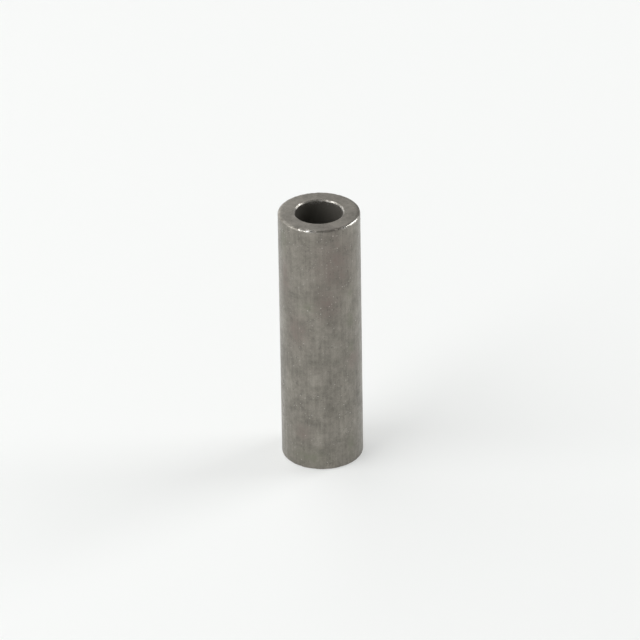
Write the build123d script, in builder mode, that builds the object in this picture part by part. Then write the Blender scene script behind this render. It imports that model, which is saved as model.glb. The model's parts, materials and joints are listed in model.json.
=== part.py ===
from build123d import *
import os

# Spacer sleeve: one straight length of thick-walled steel tube, faced square at both ends, with its rims
# broken. A bolt passes down the bore and clamps the end faces, so the length sets the gap between the two
# things that it holds apart. The sleeve stands on its lower face. The origin is that face's centre, and +Z
# runs up the bore. Sizes are in mm.

# The tube
bore_diameter = 11.11  # 7/16 in, which clears a 3/8 in or 10 mm bolt
wall_thickness = 3.97  # 5/32 in
length = 63.5  # 2 1/2 in, between the faced ends

# The rims, alike at both ends
bore_rim_chamfer = 0.3  # cut at 45 degrees, so that the bolt starts easily
outer_rim_radius = 0.4  # rounded by tumbling and handling

bore_radius = bore_diameter / 2
outside_radius = bore_radius + wall_thickness

with BuildPart() as spacer_sleeve:
    # The ring that every cross section shows, drawn up from the lower face to the upper one
    with BuildSketch(Plane.XY):
        Circle(outside_radius)
        Circle(bore_radius, mode=Mode.SUBTRACT)
    extrude(amount=length)

    # The narrowest circles are the bore's two mouths
    rims = spacer_sleeve.edges().filter_by(GeomType.CIRCLE)
    chamfer(rims.group_by(SortBy.RADIUS)[0], length=bore_rim_chamfer)

    # The widest circles are the outer rims, at the foot and at the top
    rims = spacer_sleeve.edges().filter_by(GeomType.CIRCLE)
    fillet(rims.group_by(SortBy.RADIUS)[-1], radius=outer_rim_radius)

spacer_sleeve.part.label = "spacer_sleeve"

os.makedirs("parts", exist_ok=True)
export_step(spacer_sleeve.part, "parts/spacer_sleeve.step")

print(f"sleeve {2 * outside_radius:.2f} outside, {bore_diameter:.2f} bore, {length:.2f} long")
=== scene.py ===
# %% [markdown]
# # A steel spacer sleeve
# A spacer sleeve is a short length of thick-walled tube. A bolt passes through it, and its length keeps two
# parts of a machine a fixed distance apart. This one is dull grey steel that has been in a parts bin: its
# skin is cloudy, it has small pits, and its rims have been rubbed bright.
#
# The shape already exists as a CAD model, and that model is the frame for everything here. It is loaded
# first, so that each size below can be read from it and nothing has to be measured twice.

# %% Load the frame
import bmesh
import bpy
import json
import math
import random
from mathutils import Matrix, Vector, kdtree, noise

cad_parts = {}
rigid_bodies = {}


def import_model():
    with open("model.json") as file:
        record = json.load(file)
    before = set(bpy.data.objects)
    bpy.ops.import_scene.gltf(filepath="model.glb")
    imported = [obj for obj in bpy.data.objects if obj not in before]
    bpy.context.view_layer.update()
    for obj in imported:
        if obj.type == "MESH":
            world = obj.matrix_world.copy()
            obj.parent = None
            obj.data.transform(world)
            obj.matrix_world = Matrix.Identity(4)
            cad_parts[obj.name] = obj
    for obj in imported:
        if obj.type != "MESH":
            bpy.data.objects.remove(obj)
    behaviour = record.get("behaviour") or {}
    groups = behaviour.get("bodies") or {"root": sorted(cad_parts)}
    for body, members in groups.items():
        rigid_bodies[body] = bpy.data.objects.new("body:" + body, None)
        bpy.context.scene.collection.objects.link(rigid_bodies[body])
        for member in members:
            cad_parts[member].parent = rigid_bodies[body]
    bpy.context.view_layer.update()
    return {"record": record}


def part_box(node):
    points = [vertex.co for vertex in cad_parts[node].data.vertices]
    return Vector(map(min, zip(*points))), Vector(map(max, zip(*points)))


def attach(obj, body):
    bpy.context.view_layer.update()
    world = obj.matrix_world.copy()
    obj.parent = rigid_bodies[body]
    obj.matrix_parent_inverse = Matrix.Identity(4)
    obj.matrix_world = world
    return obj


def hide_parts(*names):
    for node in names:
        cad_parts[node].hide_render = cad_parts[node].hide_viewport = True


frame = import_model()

# %% [markdown]
# ## Sizes
# The CAD node's box gives the height and the outside. The record's mounts give the bore and the lengths of
# the straight walls, and what is left at each end is the break of the rim. Blender works in metres, so a
# small `mm` keeps the numbers in the unit that a machinist would use.

# %% Read the sizes from the frame
mm = 0.001
sleeve_low, sleeve_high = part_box("spacer_sleeve")
mount = {entry["name"]: entry for entry in frame["record"]["mounts"]}

length = sleeve_high.z - sleeve_low.z
outside_radius = min(sleeve_high.x, sleeve_high.y, -sleeve_low.x, -sleeve_low.y)
bore_radius = mount["bore"]["dims"]["r_mm"] * mm
mouth_chamfer = (length - mount["bore"]["dims"]["length_mm"] * mm) / 2
rim_radius = (length - mount["outside"]["dims"]["length_mm"] * mm) / 2
print(f"outside radius {outside_radius / mm:.3f}, bore radius {bore_radius / mm:.3f}, length {length / mm:.2f}")
print(f"chamfer at the bore's mouths {mouth_chamfer / mm:.2f}, rounding of the outer rims {rim_radius / mm:.2f}")

# %% [markdown]
# ## The wall's section
# Everything about a turned part is in its section. A cylinder with a hole would give the same outline, but
# its long quads leave nothing to dent. So the section is drawn once as a single face standing in the XZ
# plane, and a vertex bevel breaks its four corners: six segments round the outer two, one segment cuts the
# inner two flat.

# %% Draw the section and break its corners
rim_segments = 6


def wall_section():
    """The wall cut through on one side of the axis, as a closed outline of edges."""
    bm = bmesh.new()
    corners = [(bore_radius, sleeve_low.z), (outside_radius, sleeve_low.z),
               (outside_radius, sleeve_high.z), (bore_radius, sleeve_high.z)]
    face = bm.faces.new([bm.verts.new((radius, 0, height)) for radius, height in corners])
    middle = (bore_radius + outside_radius) / 2
    outer = [vert for vert in bm.verts if vert.co.x > middle]
    inner = [vert for vert in bm.verts if vert.co.x < middle]
    bmesh.ops.bevel(bm, geom=outer, offset=rim_radius, offset_type="OFFSET", affect="VERTICES",
                    segments=rim_segments, profile=0.5, material=-1)
    bmesh.ops.bevel(bm, geom=inner, offset=mouth_chamfer, offset_type="OFFSET", affect="VERTICES",
                    segments=1, profile=0.5, material=-1)
    bmesh.ops.delete(bm, geom=bm.faces[:], context="FACES_ONLY")
    return bm


section = wall_section()
print("section:", len(section.verts), "points")

# %% [markdown]
# ## Points close enough to dent
# The long sides still have no points between their ends. A dent needs several points across it, so each long
# edge is subdivided: finely on the outside, which shows most, and more coarsely on the end faces and in the
# bore.

# %% Subdivide the long edges of the section
outside_spacing = 0.27 * mm
end_spacing = 0.33 * mm
bore_spacing = 2.0 * mm
close_enough = 0.001 * mm


def divide_evenly(bm, edges, spacing):
    """Cuts each edge into pieces of about this spacing."""
    for edge in edges:
        bmesh.ops.subdivide_edges(bm, edges=[edge], cuts=max(0, round(edge.calc_length() / spacing) - 1))


def lies_at(edge, radius):
    """True for an upright edge at this distance from the axis."""
    return all(abs(vert.co.x - radius) < close_enough for vert in edge.verts)


outside_edges = [edge for edge in section.edges if lies_at(edge, outside_radius)]
bore_edges = [edge for edge in section.edges if lies_at(edge, bore_radius)]
end_edges = [edge for edge in section.edges
             if abs(edge.verts[0].co.z - edge.verts[1].co.z) < close_enough]
divide_evenly(section, outside_edges, outside_spacing)
divide_evenly(section, bore_edges, bore_spacing)
divide_evenly(section, end_edges, end_spacing)
print("section:", len(section.verts), "points after dividing")

# %% [markdown]
# ## Spin the section into the sleeve
# This is the lathe. The outline goes once round the axis, and `use_merge` joins the last step to the first.
# The normals are recalculated because a spin can turn a shape inside out. The signed volume tells whether
# that worked: it is positive only when the faces point out of the metal.

# %% Spin
spin_steps = 232
merge_distance = 0.0001 * mm

bmesh.ops.spin(section, geom=section.verts[:] + section.edges[:], cent=(0, 0, 0), axis=(0, 0, 1),
               dvec=(0, 0, 0), angle=math.tau, steps=spin_steps, use_merge=True)
bmesh.ops.remove_doubles(section, verts=section.verts, dist=merge_distance)
bmesh.ops.recalc_face_normals(section, faces=section.faces)
sleeve = section
open_edges = sum(1 for edge in sleeve.edges if len(edge.link_faces) != 2)
print(len(sleeve.faces), "faces,", open_edges, "open edges, volume",
      round(sleeve.calc_volume(signed=True) / mm**3), "mm3")

# %% [markdown]
# ## Worn rims
# Where parts knock together in a bin, the outer rims take the blows. The rounding is no longer even: it is
# flatter in some places and has small nicks in others. Every move goes into the metal and none goes out of
# it, so the sleeve never grows past its CAD size.
#
# First comes a slow, uneven rub along both rims. `rim_share` says how much a point belongs to a rim: 1 on
# the rounding, and less away from it. Noise read at the point makes the rub uneven, and because it is read
# in space and not by counting points, the same wear comes out at any density of the mesh.

# %% Rub the outer rims unevenly
rub_depth = 0.07 * mm
rub_reach = 0.25 * mm
rub_size = 1.1 * mm


def fade(value, start, end):
    """1 before start, 0 after end, and smooth between them."""
    share = min(1, max(0, (end - value) / (end - start)))
    return share * share * (3 - 2 * share)


def rim_share(point):
    """How much of a point's place is on the rounding of an outer rim."""
    from_side = outside_radius - math.hypot(point.x, point.y)
    from_end = min(point.z - sleeve_low.z, sleeve_high.z - point.z)
    return fade(max(from_side, from_end), rim_radius, rim_radius + rub_reach)


sleeve.normal_update()
inward = [-vert.normal.copy() for vert in sleeve.verts]
for vert, into_metal in zip(sleeve.verts, inward):
    share = rim_share(vert.co)
    if share > 0:
        unevenness = 0.5 + 0.5 * noise.noise(vert.co / rub_size)
        vert.co += into_metal * rub_depth * share * unevenness**2

# %% [markdown]
# ## Nicks and dings
# A nick is a small sharp hollow on a rim, and a ding is a wide shallow one in the wall. Both are one
# movement: the points within reach of a centre are pushed in, the nearest most. A k-d tree finds those
# points quickly. The few that show from the front are listed one by one, and the rest are scattered, with
# a seed, so that each run gives the same sleeve.

# %% Press the nicks and dings
wear_seed = 16
scattered_nicks = 70
scattered_dings = 44
nick_inset = 0.1 * mm  # from the outside to the centre of a nick, so that it lies on the rounding

points = kdtree.KDTree(len(sleeve.verts))
for index, vert in enumerate(sleeve.verts):
    points.insert(vert.co, index)
points.balance()
sleeve.verts.ensure_lookup_table()


def on_sleeve(azimuth, height, radius=outside_radius):
    """A point at an azimuth in degrees, 0 at the front and growing to the right."""
    turn = math.radians(azimuth)
    return Vector((radius * math.sin(turn), -radius * math.cos(turn), height))


def press(centre, reach, depth):
    """Pushes the points within reach of a centre into the metal."""
    for place, index, distance in points.find_range(centre, reach):
        share = (1 - (distance / reach) ** 2) ** 2
        sleeve.verts[index].co += inward[index] * depth * share


chance = random.Random(wear_seed)
top = sleeve_high.z
# Each nick: azimuth, height, reach and depth in mm
rim_nicks = [(-64, top, 0.75, 0.16), (-33, top, 0.5, 0.08), (-22, top, 0.4, 0.07), (12, top, 0.5, 0.09),
             (27, top, 0.6, 0.07), (52, top, 0.4, 0.05)]
for number in range(scattered_nicks):
    end = chance.choice((sleeve_low.z, sleeve_high.z))
    rim_nicks.append((chance.uniform(-180, 180), end, chance.uniform(0.3, 0.7), chance.uniform(0.02, 0.08)))
for azimuth, end, reach, depth in rim_nicks:
    press(on_sleeve(azimuth, end, outside_radius - nick_inset), reach * mm, depth * mm)

# Each ding: azimuth, share of the height, reach and depth in mm
wall_dings = [(18, 0.52, 1.1, 0.05), (-31, 0.33, 1.3, 0.04), (38, 0.47, 0.9, 0.05), (-8, 0.78, 1.2, 0.04)]
for number in range(scattered_dings):
    wall_dings.append((chance.uniform(-180, 180), chance.uniform(0.03, 0.97),
                       chance.uniform(0.6, 1.4), chance.uniform(0.015, 0.045)))
for azimuth, height_share, reach, depth in wall_dings:
    press(on_sleeve(azimuth, sleeve_low.z + height_share * length), reach * mm, depth * mm)
print(len(rim_nicks), "nicks and", len(wall_dings), "dings")

# %% [markdown]
# ## Where the finish changes
# The material has to know a few things that the shape alone doesn't tell it: where the steel has been
# rubbed bright, where the foot's rim is rubbed less so that it stays dark as painted shade where the sleeve
# meets the board, where a brown or a greenish film lies on it, where the bore is, painted darker as shade in
# the deep recess, and which surface is the outer wall, the only one that has knocked against other parts.
# Each becomes a number on every point, between 0 and 1, in a layer of its own. The shader reads a layer
# through an Attribute node, and a layer stays with the surface however the sleeve is turned.

# %% Mark the rubbed rims, the films and the bore's painted shade
mouth_rub_reach = 0.06 * mm
# Low, so that the foot's rim stays dark: painted shade where the sleeve meets the board.
foot_rub_low_for_painted_shade = 0.3
least_rub = 0.35
mouth_rub = 0.7
bore_shade_depth = 0.05 * mm
wall_fade_start = 0.1 * mm
wall_fade_end = 0.4 * mm

# Each hard-rubbed stretch of the top rim: azimuth and reach in degrees
top_rubs = [(-21, 17), (54, 25), (135, 18), (-150, 25)]

rubbed = sleeve.verts.layers.float.new("rubbed")
bore_shade = sleeve.verts.layers.float.new("bore_shade")
wall = sleeve.verts.layers.float.new("wall")
brown_film = sleeve.verts.layers.float.new("brown_film")
green_film = sleeve.verts.layers.float.new("green_film")


def mouth_share(point):
    """How much of a point's place is on the chamfer at a mouth of the bore."""
    from_bore = math.hypot(point.x, point.y) - bore_radius
    from_end = min(point.z - sleeve_low.z, sleeve_high.z - point.z)
    return fade(max(from_bore, from_end), mouth_chamfer, mouth_chamfer + mouth_rub_reach)


def rub_along(point):
    """How hard this part of a rim has been rubbed, with the foot's rim held low as painted shade."""
    if point.z < length / 2:
        # The foot's rim is rubbed less than the top's, so it stays dark: painted shade where the sleeve meets
        # the board.
        return foot_rub_low_for_painted_shade
    hardest = 0
    for azimuth, reach in top_rubs:
        turn = math.degrees(math.atan2(point.x, -point.y)) - azimuth
        away = abs((turn + 180) % 360 - 180)
        hardest = max(hardest, math.exp(-(away / reach) ** 2))
    return least_rub + (1 - least_rub) * hardest


def film_share(point, patches):
    """How deep in a soft-edged patch a point lies."""
    deepest = 0
    for azimuth, height_share, width, height in patches:
        centre = on_sleeve(azimuth, sleeve_low.z + height_share * length)
        across = (point.xy - centre.xy).length / (width * mm)
        along = (point.z - centre.z) / (height * mm)
        deepest = max(deepest, math.exp(-across**2 - along**2))
    return deepest


# Each patch: azimuth, share of the height, width and height in mm
brown_patches = [(22, 0.86, 4.5, 7), (-58, 0.77, 1.3, 5), (-36, 0.575, 2.4, 3.5), (53, 0.44, 2.0, 2.2),
                 (-30, 0.15, 1.8, 1.8), (10, 0.70, 3.0, 4), (150, 0.62, 5, 6), (-120, 0.30, 4, 5),
                 (100, 0.20, 3, 4), (-150, 0.85, 3, 4)]
green_patches = [(-19, 0.68, 2.0, 1.4), (46, 0.72, 0.8, 1.3), (47, 0.61, 1.2, 1.9), (47, 0.49, 0.8, 1.6),
                 (44, 0.08, 1.0, 2.4), (-60, 0.93, 1.2, 3), (-20, 0.05, 4, 2), (120, 0.75, 3, 3),
                 (-100, 0.62, 3, 4), (170, 0.25, 4, 3)]
for vert in sleeve.verts:
    rim_rub = rim_share(vert.co) * rub_along(vert.co)
    vert[rubbed] = max(rim_rub, mouth_rub * mouth_share(vert.co))
    from_axis = math.hypot(vert.co.x, vert.co.y)
    # The bore is marked for painted shade: its colour is made darker, as shade in the deep recess.
    vert[bore_shade] = 1 if from_axis < bore_radius + bore_shade_depth else 0
    vert[wall] = fade(outside_radius - from_axis, wall_fade_start, wall_fade_end)
    vert[brown_film] = film_share(vert.co, brown_patches)
    vert[green_film] = film_share(vert.co, green_patches)

# %% [markdown]
# ## From bmesh to an object
# Smooth shading makes the wall look round. The chamfer has real corners, so an edge that bends by more
# than 30 degrees stays sharp. The object is left at the origin with its place in its mesh, as the CAD
# node's is.

# %% Make the sleeve's object
sharp_angle = math.radians(30)
for face in sleeve.faces:
    face.smooth = True
for edge in sleeve.edges:
    edge.smooth = edge.calc_face_angle(0) < sharp_angle

sleeve_mesh = bpy.data.meshes.new("sleeve_body")
sleeve.to_mesh(sleeve_mesh)
print("sleeve_body:", len(sleeve.faces) * 2, "triangles, volume",
      round(sleeve.calc_volume(signed=True) / mm**3, 1), "mm3")
sleeve.free()
sleeve_body = bpy.data.objects.new("sleeve_body", sleeve_mesh)
bpy.context.scene.collection.objects.link(sleeve_body)
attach(sleeve_body, "root")
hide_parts("spacer_sleeve")

# %% [markdown]
# ## Dull steel
# Cold-drawn steel that has been tumbled and handled is a rough metal under a thin, patchy film of oxide and
# oil. A Principled shader with a high `Metallic` gives the metal, and noise gives everything uneven about
# it. Nothing is an image: each pattern is worked out in space from Object coordinates, so it is as sharp
# near as far, and it has no seam.
#
# The patterns are sized in millimetres, so the coordinates are first scaled from metres. Two small helpers
# keep the rest short: `add_node` makes a node with its options, and `plug` fills a socket with a value or
# with another node's output.

# %% Start the steel
steel = bpy.data.materials.new("dull_steel")
steel.use_nodes = True
tree = steel.node_tree
shader = tree.nodes["Principled BSDF"]


def add_node(kind, **options):
    """A new node in the tree that is being filled, with its options set."""
    node = tree.nodes.new("ShaderNode" + kind)
    for option, value in options.items():
        setattr(node, option, value)
    return node


def plug(node, socket, value):
    """Fills a socket with another node's output, or with a plain value."""
    if isinstance(value, bpy.types.NodeSocket):
        tree.links.new(value, node.inputs[socket])
    else:
        node.inputs[socket].default_value = value


def place_in_mm(offset=(0, 0, 0), stretch=(1, 1, 1)):
    """Object coordinates in millimetres, moved to a fresh part of the pattern or squeezed."""
    mapping = add_node("Mapping")
    plug(mapping, "Vector", object_place)
    plug(mapping, "Location", offset)
    plug(mapping, "Scale", [1000 * share for share in stretch])
    return mapping.outputs["Vector"]


object_place = add_node("TexCoord").outputs["Object"]
sleeve_mesh.materials.append(steel)

# %% [markdown]
# ## Clouds, blotches and grain
# One noise at one size looks like static. Real metal is uneven at several sizes at once, so three are
# layered here: clouds about 5 mm across, blotches of about 1 mm, and grain of a quarter of a millimetre.
# A fourth is drawn out along the axis, and makes the faint lengthwise lines that drawing through a die
# leaves. Each is centred on zero before they are added, so that none of them changes the average.

# %% Layer the noises
def noise_of(size, detail, offset, stretch=(1, 1, 1)):
    """Noise with features about this many millimetres across, running from about 0 to 1."""
    pattern = add_node("TexNoise")
    plug(pattern, "Vector", place_in_mm(offset, stretch))
    plug(pattern, "Scale", 1 / size)
    plug(pattern, "Detail", detail)
    plug(pattern, "Roughness", 0.55)
    return pattern.outputs[0]


def spread(value, low, high, to_low, to_high, smooth=False):
    """Takes the span low..high of a value to another span, and stops at its ends."""
    remap = add_node("MapRange", interpolation_type="SMOOTHSTEP" if smooth else "LINEAR")
    for socket, number in enumerate((value, low, high, to_low, to_high)):
        plug(remap, socket, number)
    return remap.outputs["Result"]


def combine(operation, first, second):
    """Two values added, multiplied or compared."""
    step = add_node("Math", operation=operation)
    plug(step, 0, first)
    plug(step, 1, second)
    return step.outputs[0]


clouds = noise_of(5.0, 3, (11, 3, 7))
blotches = noise_of(1.3, 3, (2, 19, 5))
grain = noise_of(0.28, 2, (7, 1, 23))
draw_lines = noise_of(0.55, 2, (3, 8, 1), stretch=(1, 1, 0.06))

cloud_part = spread(clouds, 0.3, 0.7, -0.58, 0.58)
blotch_part = spread(blotches, 0.3, 0.7, -0.4, 0.4)
grain_part = spread(grain, 0.2, 0.8, -0.45, 0.45)
line_part = spread(draw_lines, 0.3, 0.7, -0.3, 0.3)
lightness = combine("ADD", combine("ADD", cloud_part, blotch_part), combine("ADD", grain_part, line_part))

# %% [markdown]
# ## The colour of the skin
# The added noises become one scale from a darker to a lighter grey. The greys are slightly warm, because
# the oxide film is. Brown and greenish films then lie on top where their layers say, broken up by the
# blotches so that no patch has a clean edge.

# %% Mix the skin's colour
colour_sockets = (6, 7)  # where a Mix node of colours keeps its two inputs
bore_shade_share = 0.8


def blend(share, below, above):
    """One colour laid over another by a share from 0 to 1."""
    mix = add_node("Mix", data_type="RGBA", clamp_factor=True)
    plug(mix, "Factor", share)
    for socket, colour in zip(colour_sockets, (below, above)):
        plug(mix, socket, colour if isinstance(colour, bpy.types.NodeSocket) else (*colour, 1))
    return mix.outputs[2]


def layer_of(name):
    """A layer of numbers that the mesh carries."""
    return add_node("Attribute", attribute_name=name).outputs["Fac"]


dark_skin = (0.163, 0.151, 0.131)
light_skin = (0.311, 0.291, 0.254)
brown_oxide = (0.214, 0.177, 0.158)
green_oxide = (0.212, 0.210, 0.166)
# Painted shade: the darker grey of the bore stands in for the shade in its deep recess.
bore_shade_colour = (0.138, 0.131, 0.116)

skin = blend(spread(lightness, -1, 1, 0, 1), dark_skin, light_skin)
brown_share = combine("MULTIPLY", layer_of("brown_film"), spread(blotches, 0.35, 0.65, 0.3, 0.95))
green_share = combine("MULTIPLY", layer_of("green_film"), spread(blotches, 0.35, 0.65, 0.95, 0.3))
films_and_bore_shade = blend(green_share, blend(brown_share, skin, brown_oxide), green_oxide)
# The bore is painted darker, as painted shade in the deep recess.
films_and_bore_shade = blend(combine("MULTIPLY", layer_of("bore_shade"), bore_shade_share), films_and_bore_shade, bore_shade_colour)

# %% [markdown]
# ## Pits and bright specks
# Small pits gather in some places and leave others clean, and near them single grains have been knocked
# bright. A Voronoi texture is made for this: it scatters centres, and its distance output gives a round
# spot at each. Every centre also has its own random colour, so a threshold on that keeps only some of
# them, and a slow noise makes them gather. Round spots would look like paint from a brush, so the place
# that the Voronoi reads is first pushed about by a fine noise, which makes them ragged.

# %% Scatter the spots
ragged_size = 0.3
ragged_push = 0.35
crowding_size = 3.2
least_kept = 0.02
faintest_spot = 0.25


def ragged_place(offset):
    """A place in millimetres that has been pushed about, so that round spots come out ragged."""
    push = add_node("TexNoise")
    plug(push, "Vector", place_in_mm(offset))
    plug(push, "Scale", 1 / ragged_size)
    centred = add_node("VectorMath", operation="SUBTRACT")
    plug(centred, 0, push.outputs[1])
    plug(centred, 1, (0.5, 0.5, 0.5))
    pushed = add_node("VectorMath", operation="MULTIPLY_ADD")
    plug(pushed, 0, centred.outputs[0])
    plug(pushed, 1, (ragged_push, ragged_push, ragged_push))
    plug(pushed, 2, place_in_mm(offset))
    return pushed.outputs[0]


def scatter(spacing, radius, kept, offset):
    """Round spots, 1 in the middle and 0 at the radius, on up to the kept share of the centres."""
    cells = add_node("TexVoronoi")
    plug(cells, "Vector", ragged_place(offset))
    plug(cells, "Scale", 1 / spacing)
    spot = spread(cells.outputs["Distance"], 0, radius / spacing, 1, 0, smooth=True)
    drawn = add_node("SeparateColor")
    plug(drawn, "Color", cells.outputs["Color"])
    kept_here = spread(crowding, 0.46, 0.68, least_kept, kept)
    chosen = combine("LESS_THAN", drawn.outputs[0], kept_here)
    strength = combine("MULTIPLY", chosen, spread(drawn.outputs[1], 0, 1, faintest_spot, 1))
    return combine("MULTIPLY", combine("MULTIPLY", spot, strength), wall_share)


crowding = noise_of(crowding_size, 2, (31, 2, 13))
wall_share = layer_of("wall")
pits = scatter(0.80, 0.36, 0.55, (5, 5, 5))
fine_pits = scatter(0.42, 0.19, 0.50, (17, 9, 2))
specks = scatter(0.50, 0.20, 0.38, (9, 27, 4))

# %% [markdown]
# ## How bright, how rough, how metallic
# What happens to the steel at a spot decides several sockets at once. Where it has been rubbed, on the rims
# and on the specks, the film is gone: the steel is lighter, smoother and wholly metal. In a pit, dirt has
# collected: it is darker, rougher and less metallic. The rub is broken up with blotches and grain, because
# a rim is never bright all the way round.

# %% Fill the shader's sockets
bright_steel = (0.62, 0.60, 0.56)
pit_dirt = (0.085, 0.078, 0.066)
speck_shine = 0.8
pit_fill = 0.6
skin_metallic = 0.78

rub_breaks = combine("ADD", spread(blotches, 0.3, 0.7, -0.2, 0.2), spread(grain, 0.2, 0.8, -0.45, 0.45))
rub = spread(combine("ADD", layer_of("rubbed"), rub_breaks), 0.55, 1.15, 0, 1, smooth=True)
bared = combine("MAXIMUM", rub, combine("MULTIPLY", specks, speck_shine))
dirt = combine("MULTIPLY", combine("MAXIMUM", pits, fine_pits), pit_fill)

steel_colour = blend(dirt, blend(bared, films_and_bore_shade, bright_steel), pit_dirt)
plug(shader, "Base Color", steel_colour)

skin_roughness = spread(lightness, -1, 1, 0.43, 0.31)
dirty_roughness = combine("ADD", skin_roughness, spread(dirt, 0, 1, 0, 0.3))
plug(shader, "Roughness", combine("ADD", spread(bared, 0, 1, 0, -0.12), dirty_roughness))

# Dirt in the pits, and the bore's painted shade, make the steel less metallic there.
dirt_and_bore_shade = combine("ADD", spread(dirt, 0, 1, 0, 0.4), spread(layer_of("bore_shade"), 0, 1, 0, 0.3))
metal = spread(bared, 0, 1, skin_metallic, 1.0)
plug(shader, "Metallic", combine("SUBTRACT", metal, dirt_and_bore_shade))

# %% [markdown]
# ## Relief too fine for the mesh
# The mesh has a point about every quarter of a millimetre, which is enough for dings. Pits and grain are
# smaller, so they are bump: the shader tilts the surface as if it went up and down by this height.

# %% Bump
relief_height = 0.045 * mm

relief = combine("ADD", spread(grain, 0, 1, 0, 0.25), spread(blotches, 0, 1, 0, 0.6))
relief = combine("ADD", relief, spread(draw_lines, 0, 1, 0, 0.12))
relief = combine("SUBTRACT", relief, combine("MAXIMUM", pits, combine("MULTIPLY", fine_pits, 0.6)))
relief = combine("ADD", relief, combine("MULTIPLY", specks, 0.4))
bump = add_node("Bump")
plug(bump, "Height", relief)
plug(bump, "Distance", relief_height)
plug(bump, "Strength", 1.0)
plug(shader, "Normal", bump.outputs["Normal"])
print("dull_steel:", len(tree.nodes), "nodes")

# %% [markdown]
# ## The board underneath
# The sleeve stands on a plain pale board. Its own shader keeps the shadows, which tell the eye that the
# sleeve touches something. In a white room with light from every side the shadows are faint, and here they
# are made faint by letting a share of the board's own colour through, for what the camera sees directly or
# in the metal. The light on the sleeve isn't changed by that.

# %% Board
board_half_side = 6
board_white = (0.93, 0.94, 0.93)
board_roughness = 0.8
board_shine = 0.1
shadow_softening = 0.4

board_mesh = bpy.data.meshes.new("board")
board_grid = bmesh.new()
bmesh.ops.create_grid(board_grid, x_segments=1, y_segments=1, size=board_half_side)
board_grid.to_mesh(board_mesh)
board_grid.free()
board = bpy.data.objects.new("board", board_mesh)
bpy.context.scene.collection.objects.link(board)

pale_board = bpy.data.materials.new("pale_board")
board_mesh.materials.append(pale_board)
pale_board.use_nodes = True
tree = pale_board.node_tree
board_shader = tree.nodes["Principled BSDF"]
board_shader.inputs["Base Color"].default_value = (*board_white, 1)
board_shader.inputs["Roughness"].default_value = board_roughness
board_shader.inputs["Specular IOR Level"].default_value = board_shine
glow = add_node("Emission")
plug(glow, "Color", (*board_white, 1))
ray = add_node("LightPath")
seen = combine("MAXIMUM", ray.outputs["Is Camera Ray"], ray.outputs["Is Glossy Ray"])
seen = combine("MAXIMUM", seen, ray.outputs["Is Transmission Ray"])
lift = add_node("MixShader")
plug(lift, 0, combine("MULTIPLY", seen, shadow_softening))
plug(lift, 1, board_shader.outputs["BSDF"])
plug(lift, 2, glow.outputs["Emission"])
plug(tree.nodes["Material Output"], "Surface", lift.outputs["Shader"])

# %% [markdown]
# ## Lamps
# A tube shows its light as stripes along it, so each lamp here is chosen by the stripe that it draws. A
# large one at the left lights the broad left half and puts a glint on the front rim. One behind it, at the
# back left, draws the bright left edge and lights the top face, which mirrors what stands behind the
# sleeve. A smaller one at the right does the same for the right edge and rim, and between them the front
# right stays darker.

# %% Hang the softboxes
def softbox(name, azimuth, elevation, distance, width, height, power):
    """A lamp that faces the sleeve's middle: azimuth 0 is the front, growing to the right."""
    turn, rise = math.radians(azimuth), math.radians(elevation)
    direction = Vector((math.sin(turn) * math.cos(rise), -math.cos(turn) * math.cos(rise), math.sin(rise)))
    lamp = bpy.data.lights.new(name, "AREA")
    lamp.shape = "RECTANGLE"
    lamp.size = width
    lamp.size_y = height
    lamp.energy = power
    holder = bpy.data.objects.new(name, lamp)
    holder.location = (sleeve_low + sleeve_high) / 2 + direction * distance
    holder.rotation_euler = direction.to_track_quat("Z", "Y").to_euler()
    bpy.context.scene.collection.objects.link(holder)


softbox("left_lamp", -66, 36, 1.1, 1.0, 1.0, 9.8)
softbox("back_left_lamp", -142, 30, 1.3, 1.6, 1.2, 8.2)
softbox("right_lamp", 111, 34, 1.0, 0.55, 0.5, 4.4)

# %% [markdown]
# ## The room
# A world of one bright white would light the metal from everywhere, and metal that mirrors the same white
# from everywhere looks like grey paint. So the room is dim overhead, and only near the horizon is it as
# pale as the board, so that a low view shows a pale background too.

# %% World
ceiling_light = 0.22
horizon_top = 0.07
ceiling_start = 0.2

world = bpy.data.worlds.new("room")
bpy.context.scene.world = world
world.use_nodes = True
tree = world.node_tree
background = tree.nodes["Background"]
plug(background, "Color", (*board_white, 1))
direction = add_node("SeparateXYZ")
plug(direction, 0, add_node("TexCoord").outputs["Generated"])
strength = spread(direction.outputs["Z"], horizon_top, ceiling_start, 1, ceiling_light, smooth=True)
plug(background, "Strength", strength)

# %% [markdown]
# ## Camera
# The camera looks down at about 30 degrees through a very long lens, so that the sleeve hardly narrows
# towards its foot. Its place is given in outside radii: that way it keeps its view if the CAD sleeve is
# ever made larger.

# %% Camera
camera_aside = -0.0156 * outside_radius
camera_back = 136.7 * outside_radius
camera_height = 81.6 * outside_radius
camera_tilt = math.radians(29.69)
camera_roll = math.radians(-0.92)
lens_length = 363
sensor_width = 36

camera = bpy.data.cameras.new("camera")
camera.sensor_width = sensor_width
camera.lens = lens_length
camera.clip_start, camera.clip_end = 0.01, 100
camera_holder = bpy.data.objects.new("camera", camera)
camera_holder.matrix_world = (Matrix.Translation((camera_aside, -camera_back, camera_height))
                              @ Matrix.Rotation(math.radians(90) - camera_tilt, 4, "X")
                              @ Matrix.Rotation(camera_roll, 4, "Z"))
bpy.context.scene.collection.objects.link(camera_holder)
bpy.context.scene.camera = camera_holder
bpy.context.scene.view_settings.view_transform = "Standard"
